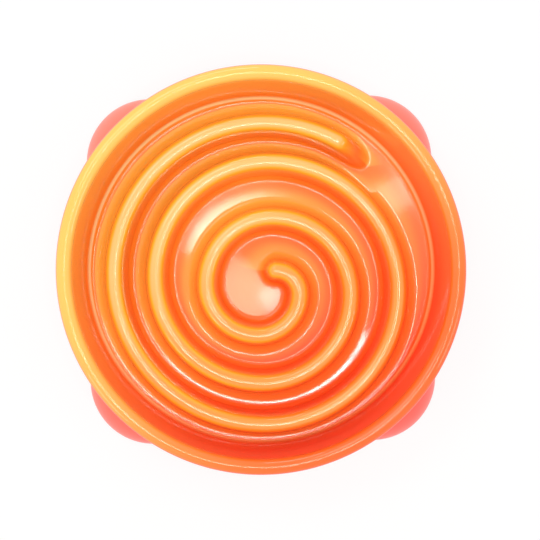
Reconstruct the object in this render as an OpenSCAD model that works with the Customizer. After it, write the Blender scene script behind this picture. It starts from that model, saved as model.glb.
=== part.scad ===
// Slow feeder bowl: a round bowl whose floor carries one spiral ridge, moulded in one
// piece with a rolled rim, an outer skirt and four flared feet, and standing on four
// soft pads that push into the feet. Millimetres, +Z up, origin on the table under
// the middle of the rim.

/* [Bowl] */
// Diameter across the rolled rim
bowl_d = 290; // [275:1:305]
// Height from the table to the top of the rim
bowl_h = 66; // [60:1:72]
// Height of the feeding floor above the table
floor_h = 16; // [15:0.5:18]
// Thickness of the moulded walls
wall = 3; // [2.6:0.1:3.2]
// Diameter of the feeding floor, measured to the foot of the inner wall
floor_d = 250; // [247:1:252]
// Lean of the inner wall from upright, in degrees
wall_lean = 12; // [10:0.5:12.5]
// Radius of the round between the floor and the inner wall
wall_round = 5; // [4:0.5:6]
// Thickness of the rolled rim
rim_roll_d = 11; // [10:0.5:12]

/* [Spiral ridge] */
// Height of the ridge above the floor
ridge_h = 36; // [28:1:38]
// Width of the crest between its two shoulders
crest_w = 11; // [10.5:0.5:12]
// Radius of the shoulders beside the crest
shoulder_r = 3.5; // [3:0.5:4]
// Lean of the ridge's flanks from upright, in degrees
ridge_lean = 6; // [4:0.5:7]
// Radius of the round at the foot of each flank
ridge_round = 5; // [4:0.5:5]
// Angle of the last arc that keeps its full height, in degrees
tail_sweep = 24; // [18:1:28]

/* [Skirt and feet] */
// How far the rolled rim stands out past the top of the skirt
rim_proud = 1.5; // [1:0.5:2]
// Lean of the skirt from upright, in degrees
skirt_lean = 7; // [5:0.5:8]
// Gap between the table and the lower edge of the skirt
skirt_gap = 10; // [9:0.5:11]
// How far the feet reach out beyond the rim
foot_reach = 15; // [13:0.5:18]
// Radius of a foot's round outline
foot_r = 46.5; // [44:0.5:48]
// Direction of the first foot, in degrees from +X
foot_turn = 46; // [30:1:60]
// Height at which the flare of a foot leaves the skirt
flare_h = 44; // [40:1:46]

/* [Foot pads] */
// Thickness of a pad
pad_t = 3; // [2.5:0.5:3.5]
// Width of a pad, across its curve
pad_w = 16; // [12:0.5:16]
// Angle that a pad covers around the bowl, between its round ends, in degrees
pad_sweep = 18; // [14:1:20]
// How far the pads stand out below the feet
pad_proud = 1.5; // [1:0.5:2]
// How far the middle of a pad's width lies in from the toe of its foot
pad_back = 26; // [25:0.5:28]
// Room between a pad and the inner wall of its foot
pad_room = 5; // [4:0.5:6]
// Diameter of the holes that the pads' plugs push into
plug_hole_d = 6; // [5:0.5:7]
// Play between a plug's shaft and its hole, on the diameter
plug_play = 0.4; // [0.3:0.1:0.5]

/* [Hidden] */
$fn = 96;
feet = 4;
bowl_color = [1, 0.5, 0.2];
pad_color = [0.93, 0.55, 0.45];

// Steps in which small rounds and the round ends of the pads are drawn
round_step_count = 3;
pad_step_count = 8;
flare_step_count = 6;
// A small step, so that no two surfaces of one solid lie on each other
bite = wall / 6;

rim_r = bowl_d / 2;
roll_r = rim_roll_d / 2;
roll_z = bowl_h - roll_r;
floor_r = floor_d / 2;
floor_under = floor_h - wall;

// The crest's path is a volute of quarter circles, each starting where the last one
// ends. It starts at the nose of the ridge near the middle, heads for +X and runs
// clockwise out to the tail. Its start and its radii are shares of an even part of the
// bowl's diameter.
unit_count = 29;
path_unit = bowl_d / unit_count;
path_start_shares = [1.05, -0.05];
arc_radius_shares = [1.7, 2.95, 3.7, 4.75, 5.55, 6.3, 7.65, 8.15, 9.2, 9.55, 10.75, 10.8, 10.9];
path_start = path_start_shares * path_unit;
arc_radii = arc_radius_shares * path_unit;
last_arc = len(arc_radii) - 1;

// Where the round at the foot of a flank stops, just short of level, so that it cuts
// into the floor at a clear angle
ridge_round_end_angle = 262;

// Level axis about which the ridge's outer end turns down, and how far it starts back
tail_sink = wall * 2 / 3;
tail_axis_z = floor_h - tail_sink;
tail_lead_angle = 6;
tail_slim_share = 0.96;
tail_pocket_count = 2;
tail_pocket_gap = wall * 4;
tail_pocket_r = crest_w / 2 - wall + bite;

// The feet, and the bosses in them that take the pads' plugs, are placed from the toe in.
// The hollow sweep of a foot would run flare_past beyond the toe if the toe didn't cut it.
toe_reach_r = rim_r + foot_reach;
toe_edge = 2 * bite;
foot_axis_r = toe_reach_r - foot_r;
foot_z = pad_proud;
flare_start_angle = 14;
flare_end_angle = 78;
flare_top_x = skirt_x(flare_h) - bite;
flare_past = 3 * wall;
flare_r = (toe_reach_r + flare_past - flare_top_x) / (cos(flare_start_angle) - cos(flare_end_angle));
boss_circle_r = toe_reach_r - pad_back;
foot_in_r = boss_circle_r - pad_w / 2 - pad_room - wall;
boss_wall = wall - bite;
boss_d = plug_hole_d + 2 * boss_wall;
boss_spread_share = 0.42;
boss_angle = pad_sweep * boss_spread_share;
boss_top = skirt_gap + 3 * wall;
plug_h = boss_top - pad_t - 2 * wall;
rib_h = wall / 2;

// Outline of a foot's round top, as shares of its radius: how far out, and how high
toe_shares = [[1, 0.12], [0.97, 0.22], [0.9, 0.36], [0.8, 0.52], [0.64, 0.7], [0.4, 0.88], [0, 1]];

function arc(c, r, a0, a1) =
    [for (i = [0:round_step_count]) c + r * turned(a0 + (a1 - a0) * i / round_step_count)];
function turned(a) = [cos(a), sin(a)];
function mirrored(half) = [for (i = [len(half) - 1:-1:0]) [-half[i].x, half[i].y]];
function last(list) = list[len(list) - 1];

// Radius of the inner wall's food side and of the skirt's outer side at a height
function wall_x(z) = floor_r + (z - floor_h) * tan(wall_lean);
function skirt_x(z) = rim_r - rim_proud - (roll_z - z) * tan(skirt_lean);

// Outward direction at the start of an arc of the path, and the arc's centre
function arc_start(k) = 90 - 90 * k;
function arc_dir(k) = [round(cos(arc_start(k))), round(sin(arc_start(k)))];
function arc_centre(k) =
    k == 0
        ? path_start - arc_radii[0] * arc_dir(0)
        : arc_centre(k - 1) + (arc_radii[k - 1] - arc_radii[k]) * arc_dir(k);

// One half of the ridge's section, from the crest down to the floor
ridge_half =
    let (shoulder = [crest_w / 2 - shoulder_r, floor_h + ridge_h - shoulder_r],
         flank_top = shoulder + shoulder_r * turned(ridge_lean),
         round_z = floor_h + ridge_round,
         flank_end_z = round_z - ridge_round * sin(ridge_lean),
         flank_end_x = flank_top.x + (flank_top.y - flank_end_z) * tan(ridge_lean),
         round_c = [flank_end_x + ridge_round * cos(ridge_lean), round_z])
    concat(arc(shoulder, shoulder_r, 90, ridge_lean),
           arc(round_c, ridge_round, 180 + ridge_lean, ridge_round_end_angle));
ridge_base_x = last(ridge_half).x + bite;
crest = [0, floor_h + ridge_h + bite / 2];
ridge_half_closed = concat([crest], ridge_half, [[ridge_base_x, floor_under + bite]]);
ridge_section = concat(ridge_half_closed, mirrored(ridge_half_closed));

// One half of the section of the space below the ridge, open through the floor
hollow_top = floor_h + ridge_h - wall;
hollow_half =
    let (open_z = floor_under - bite,
         top_x = crest_w / 2 - wall)
    [[top_x, hollow_top],
     [top_x + (hollow_top - open_z) * tan(ridge_lean), open_z]];
hollow_section = concat(hollow_half, mirrored(hollow_half));

// A section carried along the path's arcs, with a round nose at its inner end
module along_spiral(section, half, sweep) {
    for (k = [0:last_arc])
        translate([arc_centre(k).x, arc_centre(k).y, 0])
            rotate_extrude(angle = k < last_arc ? 90 : sweep,
                           start = k < last_arc ? arc_start(k) - 90 : arc_start(k) - sweep)
                translate([arc_radii[k], 0])
                    polygon(section);
    translate([path_start.x, path_start.y, 0])
        rotate_extrude(angle = 180, start = 90)
            polygon(concat(half, [[0, last(half).y], [0, half[0].y]]));
}

// The end of the path, facing outwards from the last arc's centre along +X
module at_path_end() {
    translate([arc_centre(last_arc).x, arc_centre(last_arc).y, 0])
        rotate([0, 0, arc_start(last_arc) - tail_sweep])
            translate([arc_radii[last_arc], 0, 0])
                children();
}

// The outer end of the ridge: its section turned down into the floor about a level axis
module tail() {
    half = [for (p = ridge_half) [p.y - tail_axis_z - bite / 2, p.x * tail_slim_share]];
    side = concat([[crest.y - tail_axis_z - bite / 2, 0]], half, [[0, last(half).y]]);
    at_path_end()
        translate([0, 0, tail_axis_z])
            rotate([180, -90, 0])
                rotate_extrude(angle = 90 + tail_lead_angle, start = -tail_lead_angle)
                    polygon(concat(side, [for (i = [len(side) - 1:-1:0]) [side[i].x, -side[i].y]]));
}

// Pockets that keep the solid end of the ridge as thin as its flanks
module tail_pockets() {
    reach = crest.y - tail_axis_z;
    for (step = [1:tail_pocket_count]) {
        along = step * tail_pocket_gap;
        height = sqrt(pow(reach - wall, 2) - pow(along + tail_pocket_r, 2));
        at_path_end()
            translate([0, -along, 0])
                rotate_extrude()
                    polygon([[0, floor_under - bite],
                             [tail_pocket_r + height * tan(ridge_lean / 2), floor_under - bite],
                             [tail_pocket_r, tail_axis_z + height],
                             [0, tail_axis_z + height]]);
    }
}

// Floor, inner wall, rolled rim and outer skirt, turned in one section
module shell() {
    round_z = floor_h + wall_round;
    round_c = [wall_x(round_z) - wall_round / cos(wall_lean), round_z];
    gap_top = bowl_h - rim_roll_d - bite;
    across = wall / cos(wall_lean);
    rotate_extrude()
        union() {
            polygon(concat(
                [[0, floor_under], [0, floor_h]],
                arc(round_c, wall_round, -90, -wall_lean),
                [[wall_x(roll_z), roll_z],
                 [skirt_x(roll_z), roll_z],
                 [skirt_x(skirt_gap), skirt_gap],
                 [skirt_x(skirt_gap) - wall, skirt_gap],
                 [skirt_x(gap_top) - wall, gap_top],
                 [wall_x(gap_top) + across, gap_top],
                 [wall_x(floor_under) + across, floor_under]]));
            translate([rim_r - roll_r, roll_z])
                circle(roll_r);
        }
}

// The room of one foot: its round outline cut by the flare that leaves the skirt
module foot_room(inset) {
    low = foot_z - (inset > 0 ? bite : 0);
    toe_r = foot_r - inset;
    flare_c = [flare_top_x, flare_h] + flare_r * turned(flare_start_angle);
    flare = [for (i = [0:flare_step_count])
        let (angle = flare_start_angle + (flare_end_angle - flare_start_angle) * i / flare_step_count)
        flare_c - (flare_r + inset) * turned(angle)];
    top = flare[0].y + inset;
    under = floor_under + bite + inset / 6;
    seam = wall / 2 - inset / 6;
    intersection() {
        translate([foot_axis_r, 0, 0])
            rotate_extrude()
                polygon(concat(
                    [[0, low], [toe_r - toe_edge, low], [toe_r, low + toe_edge]],
                    [for (share = toe_shares) [0, foot_z] + share * toe_r]));
        rotate_extrude()
            polygon(concat(
                [[foot_in_r + inset, low],
                 [foot_in_r + inset, under],
                 [wall_x(under) + seam, under],
                 [wall_x(top) + seam, top]],
                inset > 0 ? [[flare[0].x, top]] : [],
                flare,
                [[last(flare).x + flare_r, last(flare).y],
                 [last(flare).x + flare_r, low]]));
    }
}

module foot() {
    difference() {
        foot_room(0);
        foot_room(wall);
    }
}

// Places of the two bosses of a foot, as children
module at_bosses() {
    for (side = [-1, 1])
        rotate([0, 0, side * boss_angle])
            translate([boss_circle_r, 0, 0])
                children();
}

module bowl() {
    color(bowl_color)
        difference() {
            union() {
                shell();
                along_spiral(ridge_section, ridge_half_closed, tail_sweep);
                tail();
                for (k = [0:feet - 1])
                    rotate([0, 0, foot_turn + k * 360 / feet]) {
                        foot();
                        at_bosses()
                            translate([0, 0, pad_t])
                                cylinder(d = boss_d, h = boss_top - pad_t);
                    }
            }
            along_spiral(hollow_section, hollow_half, tail_sweep);
            tail_pockets();
            for (k = [0:feet - 1])
                rotate([0, 0, foot_turn + k * 360 / feet])
                    at_bosses()
                        translate([0, 0, pad_t - wall])
                            cylinder(d = plug_hole_d, h = plug_h + 2 * wall);
        }
}

// A soft pad: a curved strip with round ends and two ribbed plugs on its top
module foot_pad(index) {
    half_w = pad_w / 2;
    side = [for (i = [0:pad_step_count]) (i / pad_step_count - 1 / 2) * pad_sweep];
    end = [for (i = [1:pad_step_count - 1]) 180 * i / pad_step_count];
    end_c = boss_circle_r * turned(pad_sweep / 2);
    round_end = [for (a = end) end_c + half_w * turned(pad_sweep / 2 + a)];
    outline = concat(
        [for (a = side) (boss_circle_r + half_w) * turned(a)],
        round_end,
        [for (i = [pad_step_count:-1:0]) (boss_circle_r - half_w) * turned(side[i])],
        [for (i = [len(round_end) - 1:-1:0]) [round_end[i].x, -round_end[i].y]]);
    shaft_r = (plug_hole_d - plug_play) / 2;
    rib_r = plug_hole_d / 2;
    color(pad_color)
        rotate([0, 0, foot_turn + index * 360 / feet]) {
            linear_extrude(pad_t)
                polygon(outline);
            at_bosses()
                translate([0, 0, pad_t - bite])
                    rotate_extrude()
                        polygon([[0, 0],
                                 [shaft_r, 0],
                                 [shaft_r, plug_h - 2 * rib_h],
                                 [rib_r, plug_h - rib_h * 3 / 2],
                                 [rib_r, plug_h - rib_h],
                                 [shaft_r - bite, plug_h],
                                 [0, plug_h]]);
        }
}

bowl();
foot_pad(0);  // foot_pad_back_right
foot_pad(1);  // foot_pad_back_left
foot_pad(2);  // foot_pad_front_left
foot_pad(3);  // foot_pad_front_right
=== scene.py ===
"""Slow feeder bowl: a glossy orange moulding with one spiral ridge, on four soft pads.

The bowl is one moulding, so its visible skin is one smooth closed mesh: the ridge and the
hollow below it are swept along a volute by Geometry Nodes, the wall, rim, skirt and feet
are turned around the middle, and flat floors join the two. Each pad is a curved strip with
round edges, grip bars below and two ribbed plugs. All lengths are in metres, in the frame
of the CAD, and all angles that are written out are in degrees.
"""

import logging
import math
from dataclasses import dataclass, replace
from enum import Enum
from typing import Iterable, Sequence

import bmesh
import bpy
import numpy as np
from mathutils import Matrix, Vector
from mathutils.geometry import delaunay_2d_cdt


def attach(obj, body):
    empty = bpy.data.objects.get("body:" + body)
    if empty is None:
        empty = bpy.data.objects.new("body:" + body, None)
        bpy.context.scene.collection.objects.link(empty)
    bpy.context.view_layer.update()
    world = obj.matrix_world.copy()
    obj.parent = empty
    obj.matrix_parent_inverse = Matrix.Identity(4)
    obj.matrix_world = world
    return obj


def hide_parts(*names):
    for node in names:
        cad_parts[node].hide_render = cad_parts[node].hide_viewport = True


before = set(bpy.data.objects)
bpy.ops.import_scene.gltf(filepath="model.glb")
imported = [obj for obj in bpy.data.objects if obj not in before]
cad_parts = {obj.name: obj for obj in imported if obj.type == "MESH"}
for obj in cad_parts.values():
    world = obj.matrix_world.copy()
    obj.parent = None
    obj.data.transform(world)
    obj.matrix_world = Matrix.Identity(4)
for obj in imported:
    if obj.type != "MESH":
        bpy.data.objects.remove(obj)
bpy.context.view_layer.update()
MM = 0.001
# Points nearer to each other than this count as one
SAME = 0.01 * MM
FOOT_ANGLES = {"back_right": 46.0, "back_left": 136.0, "front_left": 226.0, "front_right": 316.0}
OUTWARD_SIDE = "outward_side"

logging.basicConfig(level=logging.INFO, format="%(message)s")
log = logging.getLogger("slow_feeder_bowl")

# A row is radius and height of one point of a turned section, at each angle
Pair = tuple[float, float]
Point = tuple[float, float, float]
Colour = tuple[float, float, float, float]
Row = tuple[np.ndarray, np.ndarray]
Socket = bpy.types.NodeSocket


def smooth_step(low: float, high: float, value: np.ndarray) -> np.ndarray:
    """Ease from 0 at low to 1 at high.

    Args:
        low: Value at which the result leaves 0.
        high: Value at which the result reaches 1.
        value: The values to ease.

    Returns:
        The eased values.
    """
    t = np.clip((value - low) / (high - low), 0.0, 1.0)
    return t * t * (3.0 - 2.0 * t)


def smooth_max(a: np.ndarray, b: np.ndarray, blend: float) -> np.ndarray:
    """Take the larger of two surfaces, with a round of about the blend's size between them.

    Args:
        a: The first surface.
        b: The second surface.
        blend: Distance over which the two run into each other.

    Returns:
        The blended surface.
    """
    share = np.clip(0.5 + 0.5 * (a - b) / blend, 0.0, 1.0)
    return b + (a - b) * share + blend * share * (1.0 - share)


def polar(radius: float, angle: float) -> Pair:
    """Give the place at a distance and an angle in radians."""
    return (radius * math.cos(angle), radius * math.sin(angle))


def arc_points(centre: Pair, radius: float, start: float, end: float, steps: int) -> list[Pair]:
    """List points on an arc in a section's plane.

    Args:
        centre: The arc's centre.
        radius: The arc's radius.
        start: Angle of the first point.
        end: Angle of the last point.
        steps: How many steps lie between the two.

    Returns:
        The points, both ends included.
    """
    angles = [math.radians(start + (end - start) * i / steps) for i in range(steps + 1)]
    return [(centre[0] + radius * math.cos(a), centre[1] + radius * math.sin(a)) for a in angles]


@dataclass(frozen=True)
class Volute:
    """Path of the crest: quarter circles, each starting where the last one ends."""

    start: Pair = (10.5 * MM, -0.5 * MM)
    radii: tuple[float, ...] = tuple(r * MM for r in (17.0, 29.5, 37.0, 47.5, 55.5, 63.0, 76.5, 81.5,
                                                      92.0, 95.5, 107.5, 108.0, 109.0))
    last_sweep: float = 28.0
    step: float = 2.0 * MM
    widest_step: float = 5.0

    def length(self) -> float:
        """Give the whole turn of the path."""
        return 90.0 * (len(self.radii) - 1) + self.last_sweep

    def at(self, turn: float) -> tuple[Vector, Vector]:
        """Find a place on the path.

        Args:
            turn: How far the path has turned since the nose.

        Returns:
            The place, and the unit vector that points outwards there.
        """
        centre = Vector((self.start[0], self.start[1] - self.radii[0], 0.0))
        last = min(int(turn // 90.0), len(self.radii) - 1)
        for k in range(1, last + 1):
            first = math.radians(90.0 - 90.0 * k)
            towards = Vector((round(math.cos(first)), round(math.sin(first)), 0.0))
            centre = centre + (self.radii[k - 1] - self.radii[k]) * towards
        outward = Vector((*polar(1.0, math.radians(90.0 - turn)), 0.0))
        return centre + self.radii[last] * outward, outward

    def turns(self) -> list[float]:
        """List the turns at which the skin gets a row, from the nose out to the tail.

        Returns:
            The turns in order.
        """
        turns = [0.0]
        for k, radius in enumerate(self.radii):
            sweep = self.last_sweep if k == len(self.radii) - 1 else 90.0
            steps = max(round(radius * math.radians(sweep) / self.step), round(sweep / self.widest_step))
            turns.extend(90.0 * k + sweep * (i + 1) / steps for i in range(steps))
        return turns


def live(sockets: Iterable[Socket]) -> list[Socket]:
    """List the sockets that a node uses with its present settings."""
    return [socket for socket in sockets if socket.enabled and not socket.is_unavailable]


class Sheet:
    """A node tree that is wired by short calls."""

    prefix = "ShaderNode"

    def __init__(self, tree: bpy.types.NodeTree) -> None:
        """Take over a tree."""
        self.tree = tree

    def wire(self, sockets: Iterable[Socket], values: Iterable[object]) -> None:
        """Fill inputs in order.

        Args:
            sockets: The inputs.
            values: Terms, sockets, values, or None for an input that keeps its default.
        """
        for socket, value in zip(sockets, values):
            value = value.socket if isinstance(value, Term) else value
            if isinstance(value, Socket):
                self.tree.links.new(value, socket)
            elif value is not None:
                socket.default_value = value

    def add(self, kind: str, *inputs: object, **settings: object) -> bpy.types.Node:
        """Add a node and fill its inputs in order.

        Args:
            kind: The node's type; one that doesn't start with Shader gets the tree's own prefix.
            inputs: Terms, sockets, values, or None for an input that keeps its default.
            settings: Properties of the node.

        Returns:
            The node.
        """
        node = self.tree.nodes.new(kind if kind.startswith("Shader") else self.prefix + kind)
        for key, value in settings.items():
            setattr(node, key, value)
        self.wire(live(node.inputs), inputs)
        return node

    def out(self, kind: str, *inputs: object, **settings: object) -> "Term":
        """Add a node as add does, and give its first result."""
        return Term(self, live(self.add(kind, *inputs, **settings).outputs)[0])

    def split(self, vector: object) -> list["Term"]:
        """Take a vector apart into x, y and z."""
        return [Term(self, socket) for socket in self.add("ShaderNodeSeparateXYZ", vector).outputs]

    def math(self, operation: str, *terms: object) -> "Term":
        """Work out one number."""
        return self.out("ShaderNodeMath", *terms, operation=operation)

    def ease(self, value: object, low: object, high: object) -> "Term":
        """Ease a value from 0 at low to 1 at high."""
        return self.out("ShaderNodeMapRange", value, low, high, interpolation_type="SMOOTHSTEP")

    def blend(self, share: object, first: object, second: object, kind: str = "RGBA") -> "Term":
        """Mix two colours, or two values of another kind, by a share."""
        return self.out("ShaderNodeMix", share, first, second, data_type=kind)


@dataclass(frozen=True)
class Term:
    """A value in a node tree; sums and products of numbers become nodes."""

    sheet: Sheet
    socket: Socket

    def __add__(self, other: object) -> "Term":
        """Add another number."""
        return self.sheet.math("ADD", self, other)

    def __sub__(self, other: object) -> "Term":
        """Take another number away."""
        return self.sheet.math("SUBTRACT", self, other)

    def __rsub__(self, other: object) -> "Term":
        """Take this number away from another."""
        return self.sheet.math("SUBTRACT", other, self)

    def __mul__(self, other: object) -> "Term":
        """Multiply by another number."""
        return self.sheet.math("MULTIPLY", self, other)

    def __truediv__(self, other: object) -> "Term":
        """Divide by another number."""
        return self.sheet.math("DIVIDE", self, other)

    def __pow__(self, other: object) -> "Term":
        """Raise to a power."""
        return self.sheet.math("POWER", self, other)


class GeometrySheet(Sheet):
    """A Geometry Nodes tree that is drawn from left to right."""

    prefix = "GeometryNode"

    def __init__(self, name: str) -> None:
        """Start an empty tree.

        Args:
            name: The tree's name.
        """
        super().__init__(bpy.data.node_groups.new(name, "GeometryNodeTree"))
        for way in ("INPUT", "OUTPUT"):
            self.tree.interface.new_socket("Geometry", in_out=way, socket_type="NodeSocketGeometry")
        self.sockets: dict[str, str] = {}
        self.given = self.tree.nodes.new("NodeGroupInput")
        self.result = self.tree.nodes.new("NodeGroupOutput")

    def ask(self, name: str, kind: str = "Float") -> Term:
        """Add a named input.

        Args:
            name: The input's name.
            kind: The socket's type, without its prefix.

        Returns:
            The input's value inside the tree.
        """
        socket = self.tree.interface.new_socket(name, in_out="INPUT", socket_type="NodeSocket" + kind)
        self.sockets[name] = socket.identifier
        return Term(self, self.given.outputs[name])

    def vector(self, operation: str, *terms: object) -> Term:
        """Work out one vector."""
        return self.out("ShaderNodeVectorMath", *terms, operation=operation)

    def place(self, x: object, y: object, z: object = 0.0) -> Term:
        """Join numbers to a place."""
        return self.out("ShaderNodeCombineXYZ", x, y, z)

    def pick(self, index: Term, values: Sequence[object], kind: str) -> Term:
        """Choose one of several values by a number.

        Args:
            index: The number.
            values: The values to choose from.
            kind: What the values are: FLOAT or VECTOR.

        Returns:
            The chosen value.
        """
        node = self.add("IndexSwitch", data_type=kind)
        while len(node.index_switch_items) < len(values):
            node.index_switch_items.new()
        self.wire(node.inputs, [index, *values])
        return Term(self, node.outputs[0])

    def kept(self, name: str, kind: str) -> Term:
        """Read an attribute of the mesh."""
        return self.out("InputNamedAttribute", name, data_type=kind)

    def sample(self, geometry: object, value: Term, index: Term, kind: str = "FLOAT_VECTOR") -> Term:
        """Read a value at one point of another mesh.

        Args:
            geometry: The other mesh.
            value: What is read.
            index: The point's number.
            kind: What the value is: FLOAT or FLOAT_VECTOR.

        Returns:
            The value there.
        """
        return self.out("SampleIndex", geometry, value, index, data_type=kind, domain="POINT")

    def finish(self, geometry: Term, material: Term) -> None:
        """End the tree in plain geometry with its material.

        Args:
            geometry: What the tree made.
            material: The material's input.
        """
        real = self.out("RealizeInstances", geometry)
        self.wire(self.result.inputs, [self.out("SetMaterial", real, None, material)])
        per_row, across, down = 14, 220.0, -260.0
        for i, node in enumerate(self.tree.nodes):
            node.location = (across * (i % per_row), down * (i // per_row))


def ridge_tree() -> GeometrySheet:
    """Draw the tree that carries a ridge's section along a path, with its nose and tail.

    The path comes in as the points of a mesh, with attributes that hold the outward
    direction and both foot rounds at each. Half a section is drawn from the crest down to
    the floor, and both halves close like a book around the path's two ends: upright at the
    nose, and in a long slope at the tail.

    Returns:
        The tree.
    """
    sheet = GeometrySheet("ridge along a volute")
    floor_z = sheet.ask("Floor Height")
    rise = sheet.ask("Ridge Rise")
    crest = sheet.ask("Crest Half Width")
    crown = sheet.ask("Crown")
    shoulder = sheet.ask("Shoulder Radius")
    foot = sheet.ask("Foot Radius")
    tight_foot = sheet.ask("Tight Foot Radius")
    lean = sheet.ask("Flank Lean")
    edge = sheet.ask("Floor Edge")
    round_steps = sheet.ask("Round Steps", "Int")
    nose_rows = sheet.ask("Nose Rows", "Int")
    tail_rows = sheet.ask("Tail Rows", "Int")
    tail_slope = sheet.ask("Tail Slope")
    tail_corner = sheet.ask("Tail Corner")
    tail_bend = sheet.ask("Tail Bend Radius")
    material = sheet.ask("Material", "Material")
    path = sheet.given.outputs["Geometry"]

    # Half a section: crest, shoulder, flank, foot round and a narrow edge of floor
    top = floor_z + rise
    run = rise * sheet.math("TANGENT", lean)
    base = crest + run
    foot_reach = sheet.math("TANGENT", math.pi / 4.0 - lean * 0.5)
    number = sheet.out("InputIndex")

    def on_flank(share: float) -> Term:
        """Place a point on the flank at a share of the way down."""
        return sheet.place(run * share + crest, top - rise * share)

    def half_section(foot_radius: Term) -> Term:
        """Draw half a section.

        Args:
            foot_radius: Radius of the round at its foot.

        Returns:
            The half section as a line, with its height along y.
        """
        flat_share, flat_drop, flank_high, flank_low = 0.1, -0.02, 0.2, 0.6
        end = foot_radius * foot_reach + base + edge
        corners = [sheet.place(0.0, top), sheet.place(crest * flat_share, crown * flat_drop + top),
                   sheet.place(crest, top - crown), on_flank(flank_high), on_flank(flank_low),
                   sheet.place(base, floor_z), sheet.place(end, floor_z)]
        radii = [0.0, 0.0, shoulder, 0.0, 0.0, foot_radius, 0.0]
        line = sheet.out("MeshLine", len(corners))
        drawn = sheet.out("SetPosition", line, None, sheet.pick(number, corners, "VECTOR"))
        curve = sheet.out("MeshToCurve", drawn)
        rounding = sheet.pick(number, radii, "FLOAT")
        rounded = sheet.out("FilletCurve", curve, round_steps, rounding, mode="POLY")
        return sheet.out("CurveToMesh", rounded)

    half = half_section(foot)
    tight_half = half_section(tight_foot)
    path_count = sheet.out("AttributeDomainSize", path)

    # A grid with a column for each point of both halves and a row for each place; it counts
    # along its rows first
    last_level = sheet.out("AttributeDomainSize", half) - 1.0
    rows = path_count + nose_rows + tail_rows
    grid = sheet.out("MeshGrid", 1.0, 1.0, last_level * 2.0 + 1.0, rows)
    column = sheet.math("FLOOR", number / rows)
    across = column - last_level
    side = sheet.math("SIGN", across)
    level = sheet.math("ABSOLUTE", across)
    is_outward = sheet.math("GREATER_THAN", side, 0.0)
    step = number - column * rows - nose_rows
    last_step = path_count - 1.0
    on_path = sheet.math("MINIMUM", sheet.math("MAXIMUM", step, 0.0), last_step)
    nose_turn = sheet.math("MAXIMUM", step * -1.0, 0.0) / nose_rows
    tail_turn = sheet.math("MAXIMUM", step - last_step, 0.0) / tail_rows

    # The place on the path, and the section with its own foot round there
    where = sheet.out("InputPosition")
    spot = sheet.sample(path, where, on_path)
    out = sheet.sample(path, sheet.kept("outward", "FLOAT_VECTOR"), on_path)
    ahead = sheet.vector("CROSS_PRODUCT", out, (0.0, 0.0, 1.0))
    rounds = [sheet.sample(path, sheet.kept(name, "FLOAT"), on_path, "FLOAT")
              for name in ("foot_inside", "foot_outside")]
    own = sheet.pick(is_outward, rounds, "FLOAT")
    at_end = sheet.math("MAXIMUM", nose_turn, tail_turn)
    own = (sheet.math("MINIMUM", *rounds) - own) * at_end + own
    squeeze = (foot - own) / (foot - tight_foot)
    free = sheet.sample(half, where, level)
    narrow = sheet.sample(tight_half, where, level)
    x, z, _ = sheet.split(sheet.blend(squeeze, free, narrow, "VECTOR"))

    # How far to each side and ahead a point of the section lies
    nose_angle = nose_turn * (math.pi / 2.0)
    tail_angle = tail_turn * (math.pi / 2.0)
    wide = sheet.math("COSINE", nose_angle) * sheet.math("COSINE", tail_angle) ** tail_corner
    reach = (top - z) * tail_slope + x
    forward = sheet.math("SINE", tail_angle) ** tail_corner * reach
    forward = forward * sheet.math("GREATER_THAN", tail_turn, 0.0)
    along = forward - sheet.math("SINE", nose_angle) * x
    sideways = side * x * wide - forward * forward / (tail_bend * 2.0)
    plan = sheet.vector("ADD", sheet.vector("SCALE", out, sideways), sheet.vector("SCALE", ahead, along))
    spot_xy = sheet.vector("MULTIPLY", spot, (1.0, 1.0, 0.0))
    final = sheet.vector("ADD", sheet.vector("ADD", spot_xy, plan), sheet.place(0.0, 0.0, z))
    skin = sheet.out("SetPosition", grid, None, final)
    marked = sheet.out("StoreNamedAttribute", skin, None, OUTWARD_SIDE, is_outward,
                       data_type="FLOAT", domain="POINT")
    merged = sheet.out("MergeByDistance", marked, None, SAME)
    sheet.finish(sheet.out("SetShadeSmooth", merged), material)
    return sheet


def apply_tree(sheet: GeometrySheet, carrier_mesh: bpy.types.Mesh,
               values: dict[str, object]) -> bpy.types.Mesh:
    """Run a tree on a mesh and take its result as a plain mesh.

    Args:
        sheet: The tree.
        carrier_mesh: The mesh that comes in.
        values: The tree's inputs by name.

    Returns:
        The mesh.
    """
    carrier = bpy.data.objects.new("carrier", carrier_mesh)
    bpy.context.scene.collection.objects.link(carrier)
    modifier = carrier.modifiers.new("tree", "NODES")
    modifier.node_group = sheet.tree
    for name, value in values.items():
        modifier[sheet.sockets[name]] = value
    bpy.context.view_layer.update()
    depsgraph = bpy.context.evaluated_depsgraph_get()
    mesh = bpy.data.meshes.new_from_object(carrier.evaluated_get(depsgraph), depsgraph=depsgraph)
    carrier.modifiers.remove(modifier)
    bpy.data.objects.remove(carrier)
    return mesh


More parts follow.
